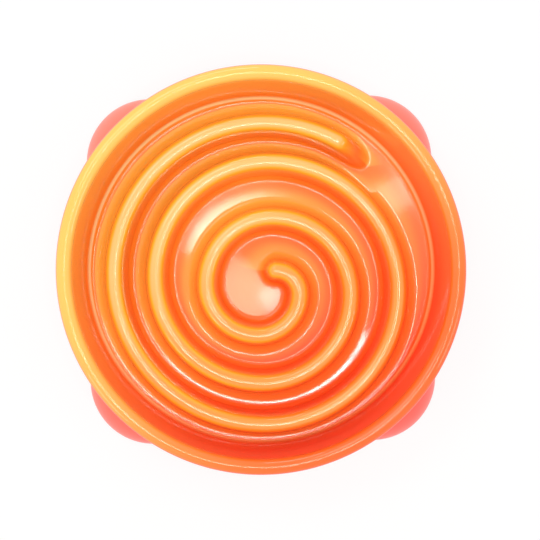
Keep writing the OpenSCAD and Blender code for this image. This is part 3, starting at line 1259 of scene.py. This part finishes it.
def moulded_tone(bands: ToneBands) -> bpy.types.NodeTree:
    """Draw the group that grades the moulding's colour by its form.

    The flanks are painted deeper and redder than the crests as painted shade, and the crests,
    the rim and the outward foot rounds yellower as painted light, with a paler painted
    highlight along the crests and one at the wall's foot. One side of the bowl is painted
    redder than the other as painted shade, and the outside is salmon.

    Args:
        bands: Where each tone starts and where it is full.

    Returns:
        The group.
    """
    names = [*TONES, *("Red " + name for name in TONES)]
    sheet, given, result = new_group(
        "moulded_tone", [(name, "Color", (1.0, 0.3, 0.05, 1.0)) for name in names],
        [("Color", "Color"), ("Outside Share", "Float")])
    place = sheet.add("TexCoord").outputs["Object"]
    x, y, z = sheet.split(place)
    across = sheet.math("SQRT", x * x + y * y)
    mottle = sheet.out("TexNoise", place, None, *bands.mottle_noise)
    shade = (mottle - 0.5) * bands.mottle_strength
    shift = shade * bands.mottle_shift

    def slant(weights: Pair) -> Term:
        """Weigh x and y."""
        return x * weights[0] + y * weights[1]

    # Painted shade: one side of the bowl grades to the redder twins, and the painted lit side stays
    # yellower
    red_low = sheet.ease(slant(bands.low_slant) + shift, *bands.red_low)
    red = {
        "Crest": sheet.ease(slant(bands.crest_slant) + shift, *bands.red_crest),
        "Crest Line": sheet.ease(slant(bands.low_slant), *bands.red_line),
        "Rim": sheet.ease(slant(bands.rim_slant), *bands.red_rim),
    }

    def toned(name: str) -> Term:
        """Mix a tone with its redder twin."""
        # The redder twin is the painted shaded side
        return sheet.blend(red.get(name, red_low), given.outputs[name], given.outputs["Red " + name])

    # From the floor up: painted shade and light on the flanks, painted light on the crests and the rim
    wall_share = sheet.ease(across, *bands.wall)
    ridge_high = sheet.ease(z, *bands.crest)
    rim_high = sheet.ease(z, *bands.rim)
    high = (rim_high - ridge_high) * wall_share + ridge_high
    outward = sheet.add("Attribute", attribute_name=OUTWARD_SIDE).outputs["Fac"]
    # Painted light: the outward foot round of the ridge is yellower
    ramp = sheet.ease(outward, *bands.ramp_side) * sheet.ease(z, *bands.ramp)
    # Painted shade and light: the flank tone is deeper than the floor on the shaded side
    tone = sheet.blend(sheet.ease(z, *bands.flank), toned("Floor"), toned("Flank"))
    tone = sheet.blend(ramp, tone, toned("Ramp"))
    # Painted light: the crests and the rim turn yellower towards the top
    tone = sheet.blend(high, tone, sheet.blend(wall_share, toned("Crest"), toned("Rim")))
    # Painted highlight: a paler line along the top of the crests
    line = sheet.ease(z, *bands.crest_line) * (1.0 - wall_share)
    tone = sheet.blend(line, tone, toned("Crest Line"))
    tone = sheet.blend(sheet.math("MAXIMUM", shade, 0.0), tone, given.outputs["Crest"])
    # Painted highlight: a pale line at the foot of the inner wall
    line = sheet.ease(across, *bands.wall_line_in) * sheet.ease(across, *bands.wall_line_out)
    line = line * (sheet.ease(z, *bands.wall_line_top) * sheet.ease(z, *bands.wall_line_low))
    tone = sheet.blend(line, tone, toned("Wall Line"))

    # The outside of the skirt and the feet
    lean = math.tan(math.radians(bands.skirt_lean))
    beyond = across - (z * lean + (bands.skirt_r - bands.skirt_z * lean))
    outside = sheet.ease(beyond, *bands.skirt) * sheet.ease(z, *bands.rim_end)
    outside = sheet.math("MAXIMUM", outside, sheet.ease(z, *bands.underside))
    tone = sheet.blend(outside, tone, toned("Outside"))
    sheet.wire([result.inputs["Color"], result.inputs["Outside Share"]], [tone, outside])
    return sheet.tree


def moulded_ripple() -> bpy.types.NodeTree:
    """Draw the group that gives a moulded surface its slight waves and fine grain.

    Returns:
        The group.
    """
    sheet, given, result = new_group(
        "moulded_ripple",
        [("Wave Scale", "Float", 30.0), ("Wave Height", "Float", 0.00004),
         ("Grain Scale", "Float", 1500.0), ("Grain Height", "Float", 0.000004)],
        [("Normal", "Vector")])
    place = sheet.add("TexCoord").outputs["Object"]
    wave_detail, wave_rough, grain_detail, grain_rough = 1.0, 0.4, 2.0, 0.5
    wave = sheet.out("TexNoise", place, None, given.outputs["Wave Scale"], wave_detail, wave_rough)
    grain = sheet.out("TexNoise", place, None, given.outputs["Grain Scale"], grain_detail, grain_rough)
    height = wave * given.outputs["Wave Height"] + grain * given.outputs["Grain Height"]
    bump = sheet.add("Bump")
    sheet.wire([bump.inputs[name] for name in ("Strength", "Distance", "Height")], [1.0, 1.0, height])
    sheet.wire([result.inputs["Normal"]], [bump.outputs[0]])
    return sheet.tree


@dataclass(frozen=True)
class GlossPlastic:
    """Glossy orange moulded plastic, matt and salmon on the outside."""

    # Tones with painted light and shade: the crest, crest highlight, rim, wall highlight and ramp tones
    # are painted light, the flank tone is painted shade and light, and the red twins are the painted
    # shaded side
    crest: Colour = (1.0, 0.42, 0.03, 1.0)
    # Painted highlight along the crests
    crest_line: Colour = (1.0, 0.49, 0.15, 1.0)
    rim: Colour = (1.0, 0.55, 0.11, 1.0)
    # Painted highlight at the wall's foot
    wall_line: Colour = (1.0, 0.88, 0.5, 1.0)
    flank: Colour = (1.0, 0.36, 0.062, 1.0)
    # Painted light on the outward foot round
    ramp: Colour = (1.0, 0.57, 0.08, 1.0)
    floor: Colour = (1.0, 0.335, 0.036, 1.0)
    outside: Colour = (1.0, 0.2, 0.13, 1.0)
    # Redder twins: the painted shaded side of each tone
    red_crest: Colour = (1.0, 0.22, 0.02, 1.0)
    red_crest_line: Colour = (1.0, 0.3, 0.05, 1.0)
    red_rim: Colour = (1.0, 0.135, 0.014, 1.0)
    red_wall_line: Colour = (1.0, 0.4, 0.14, 1.0)
    red_flank: Colour = (1.0, 0.115, 0.05, 1.0)
    red_ramp: Colour = (1.0, 0.23, 0.04, 1.0)
    red_floor: Colour = (1.0, 0.14, 0.026, 1.0)
    red_outside: Colour = (1.0, 0.095, 0.062, 1.0)
    bands: ToneBands = ToneBands()
    refraction: float = 1.5
    gloss: float = 0.05
    matt: float = 0.32

    def make(self, ripple: bpy.types.NodeTree) -> bpy.types.Material:
        """Build the material.

        Args:
            ripple: The group that gives the surface's waves.

        Returns:
            The material.
        """
        sheet, material, shader = new_material("gloss_orange_plastic")
        colour = sheet.add("Group", node_tree=moulded_tone(self.bands))
        for socket in colour.inputs:
            socket.default_value = getattr(self, socket.name.lower().replace(" ", "_"))
        outside = colour.outputs["Outside Share"]
        roughness = sheet.math("MULTIPLY_ADD", outside, self.matt - self.gloss, self.gloss)
        wave = sheet.out("Group", node_tree=ripple)
        sheet.wire([shader.inputs[name] for name in ("IOR", "Base Color", "Roughness", "Normal")],
                   [self.refraction, colour.outputs["Color"], roughness, wave])
        return material


@dataclass(frozen=True)
class SoftRubber:
    """Matt salmon rubber with dusty clouds and a fine grain."""

    colour: Colour = (0.78, 0.16, 0.12, 1.0)
    dusty: Colour = (0.83, 0.24, 0.19, 1.0)
    # Scale, detail and roughness of the clouds' noise
    cloud_noise: Point = (90.0, 4.0, 0.6)
    cloud_band: Pair = (0.35, 0.7)
    matt: float = 0.55
    cloud_matt: float = 0.2
    wave_scale: float = 160.0
    grain_height: float = 0.00001

    def make(self, ripple: bpy.types.NodeTree) -> bpy.types.Material:
        """Build the material.

        Args:
            ripple: The group that gives the surface's waves.

        Returns:
            The material.
        """
        sheet, material, shader = new_material("salmon_rubber")
        place = sheet.add("TexCoord").outputs["Object"]
        cloud = sheet.out("TexNoise", place, None, *self.cloud_noise)
        colour = sheet.blend(sheet.ease(cloud, *self.cloud_band), self.colour, self.dusty)
        roughness = cloud * self.cloud_matt + self.matt
        wave = sheet.add("Group", node_tree=ripple)
        wave.inputs["Wave Scale"].default_value = self.wave_scale
        wave.inputs["Grain Height"].default_value = self.grain_height
        sheet.wire([shader.inputs[name] for name in ("Base Color", "Roughness", "Normal")],
                   [colour, roughness, wave.outputs["Normal"]])
        return material


class LampColour(Enum):
    """The colours of light in the studio."""

    WHITE = (1.0, 0.98, 0.95)
    WARM = (1.0, 0.96, 0.88)
    AMBER = (1.0, 0.9, 0.68)


@dataclass(frozen=True)
class Lamp:
    """A flat lamp that hangs over the bowl and faces it.

    The lateral is its distance from the bowl's axis, and the first side of its size lies
    along the circle about that axis. The level is how bright its face is.
    """

    name: str
    angle: float
    lateral: float
    size: Pair
    level: float
    colour: LampColour
    height: float = 2.0
    aim_z: float = 30.0 * MM

    def hang(self) -> None:
        """Hang the lamp."""
        data = bpy.data.lights.new(self.name, "AREA")
        data.shape = "RECTANGLE"
        data.size, data.size_y = self.size
        data.energy = self.level * math.pi * (self.size[0] * self.size[1])
        data.color = self.colour.value
        place = Vector((*polar(self.lateral, math.radians(self.angle)), self.height))
        direction = Vector((0.0, 0.0, self.aim_z)) - place
        lamp = bpy.data.objects.new(self.name, data)
        facing = direction.to_track_quat("-Z", "Y").to_matrix().to_4x4()
        lamp.matrix_world = Matrix.Translation(place) @ facing
        bpy.context.scene.collection.objects.link(lamp)


@dataclass(frozen=True)
class Studio:
    """Camera straight above the bowl, soft light with a few windows, and a white table."""

    camera_distance: float = 1.4
    rim_r: float = 145.0 * MM
    rim_z: float = 60.5 * MM
    rim_px: float = 205.3
    centre_px: Pair = (261.0, 269.6)
    image_px: float = 540.0
    sensor: float = 36.0
    world_level: float = 0.75
    seen_level: float = 0.25
    table_half: float = 3.0
    table_z: float = -0.4 * MM
    table_tone: float = 0.88
    table_roughness: float = 0.8
    table_glow: float = 0.86
    soft_box: Lamp = Lamp("soft_box_back_left", angle=131.4, lateral=1.134, size=(1.0, 0.6), level=4.0,
                          colour=LampColour.WHITE, height=1.9)
    # Part of a ring of small lamps, which is narrower away from its widest angle
    ring_lamp: Lamp = Lamp("ring_light", angle=-146.0, lateral=0.42, size=(0.19, 0.09), level=24.0,
                           colour=LampColour.WARM, height=2.1)
    ring_count: int = 8
    ring_step: float = 26.0
    ring_narrower: float = 0.1
    ring_widest: float = -50.0
    # The streak along the front channel, with angle and lateral of each lamp
    front_lamp: Lamp = Lamp("front_light", angle=0.0, lateral=0.0, size=(0.075, 0.02), level=34.0,
                            colour=LampColour.WHITE)
    front_places: tuple[Pair, ...] = (
        (-128.0, 0.217), (-110.0, 0.224), (-92.0, 0.229), (-74.0, 0.228), (-57.0, 0.221), (-42.0, 0.21))
    # Windows that the middle well and the floor right of the tail mirror
    window_left: Lamp = Lamp("window_left", angle=-128.0, lateral=0.05, size=(0.1, 0.086), level=9.0,
                             colour=LampColour.AMBER)
    window_middle: Lamp = Lamp("window_middle", angle=-64.0, lateral=0.058, size=(0.044, 0.05),
                               level=10.0, colour=LampColour.WHITE)
    window_right: Lamp = Lamp("window_right", angle=29.1, lateral=0.257, size=(0.055, 0.12), level=7.0,
                              colour=LampColour.AMBER)
    # The arc above the inner turn, with angle and depth of each lamp
    back_lamp: Lamp = Lamp("window_back", angle=0.0, lateral=0.1215, size=(0.044, 0.0), level=17.5,
                           colour=LampColour.WARM)
    back_depths: tuple[Pair, ...] = (
        (76.0, 0.01), (97.0, 0.015), (118.0, 0.021), (138.0, 0.027), (156.0, 0.024))
    side_lamp: Lamp = Lamp("side_box", angle=0.0, lateral=1.6, size=(0.5, 0.35), level=5.0,
                           colour=LampColour.WHITE, height=0.75)
    side_angles: tuple[float, ...] = (-20.0, 100.0, 220.0)

    def camera(self) -> None:
        """Set the camera to the photograph's view."""
        width = self.image_px / self.rim_px * self.rim_r
        data = bpy.data.cameras.new("camera")
        data.sensor_width = self.sensor
        data.lens = self.sensor * self.camera_distance / width
        data.shift_x = (self.image_px / 2.0 - self.centre_px[0]) / self.image_px
        data.shift_y = (self.centre_px[1] - self.image_px / 2.0) / self.image_px
        camera = bpy.data.objects.new("camera", data)
        camera.location = (0.0, 0.0, self.camera_distance + self.rim_z)
        bpy.context.scene.collection.objects.link(camera)
        bpy.context.scene.camera = camera

    def lamps(self) -> list[Lamp]:
        """List the lamps, from the soft box to those at the sides.

        Returns:
            The lamps.
        """
        lamps = [self.soft_box]
        for k in range(self.ring_count):
            angle = self.ring_lamp.angle + self.ring_step * k
            off = math.radians(angle - self.ring_widest) * 0.5
            lateral = self.ring_lamp.lateral - self.ring_narrower * abs(math.sin(off))
            lamps.append(replace(self.ring_lamp, angle=angle, lateral=lateral))
        for angle, lateral in self.front_places:
            lamps.append(replace(self.front_lamp, angle=angle, lateral=lateral))
        lamps += [self.window_left, self.window_middle]
        for angle, depth in self.back_depths:
            lamps.append(replace(self.back_lamp, angle=angle, size=(self.back_lamp.size[0], depth)))
        lamps.append(self.window_right)
        return lamps + [replace(self.side_lamp, angle=angle) for angle in self.side_angles]

    def seen(self, sheet: Sheet) -> Term:
        """Tell what the camera sees, also mirrored or through glass, from what only gives light.

        Args:
            sheet: The sheet to draw on.

        Returns:
            1 where it is seen, else 0.
        """
        path = sheet.add("LightPath").outputs
        seen = sheet.math("MAXIMUM", path["Is Camera Ray"], path["Is Glossy Ray"])
        return sheet.math("MAXIMUM", seen, path["Is Transmission Ray"])

    def table(self) -> None:
        """Lay the table, which is white where it is seen and plain where it gives light."""
        mesh = bpy.data.meshes.new("table")
        bm = bmesh.new()
        bmesh.ops.create_grid(bm, x_segments=1, y_segments=1, size=self.table_half)
        bm.to_mesh(mesh)
        bm.free()
        table = bpy.data.objects.new("table", mesh)
        table.location = (0.0, 0.0, self.table_z)
        bpy.context.scene.collection.objects.link(table)
        sheet, material, shader = new_material("white_table")
        sheet.wire([shader.inputs["Base Color"], shader.inputs["Roughness"]],
                   [(self.table_tone, self.table_tone, self.table_tone, 1.0), self.table_roughness])
        glow = sheet.out("Emission", (1.0, 1.0, 1.0, 1.0), 1.0)
        share = self.seen(sheet) * self.table_glow
        face = sheet.out("MixShader", share, shader.outputs[0], glow)
        sheet.wire([sheet.tree.nodes["Material Output"].inputs["Surface"]], [face])
        mesh.materials.append(material)

    def light(self) -> None:
        """Hang the lamps and set the world, which is brighter where it is seen."""
        world = bpy.data.worlds.new("studio")
        bpy.context.scene.world = world
        world.use_nodes = True
        sheet = Sheet(world.node_tree)
        strength = self.seen(sheet) * self.seen_level + self.world_level
        background = world.node_tree.nodes["Background"].inputs
        sheet.wire([background["Color"], background["Strength"]], [(1.0, 1.0, 1.0, 1.0), strength])
        for lamp in self.lamps():
            lamp.hang()


def main() -> None:
    """Build the studio, the bowl and its pads."""
    bpy.context.scene.view_settings.view_transform = "Standard"
    studio = Studio()
    studio.camera()
    studio.table()
    studio.light()
    ripple = moulded_ripple()
    pieces = [BowlMoulding().build(ridge_tree(), GlossPlastic().make(ripple))]
    grips, rubber = grip_tree(), SoftRubber().make(ripple)
    pieces += [FootPad(name, angle).build(grips, rubber) for name, angle in FOOT_ANGLES.items()]
    for piece in pieces:
        log.info("%s: %d faces", piece.name, len(piece.data.polygons))


if __name__ == "__main__":
    main()
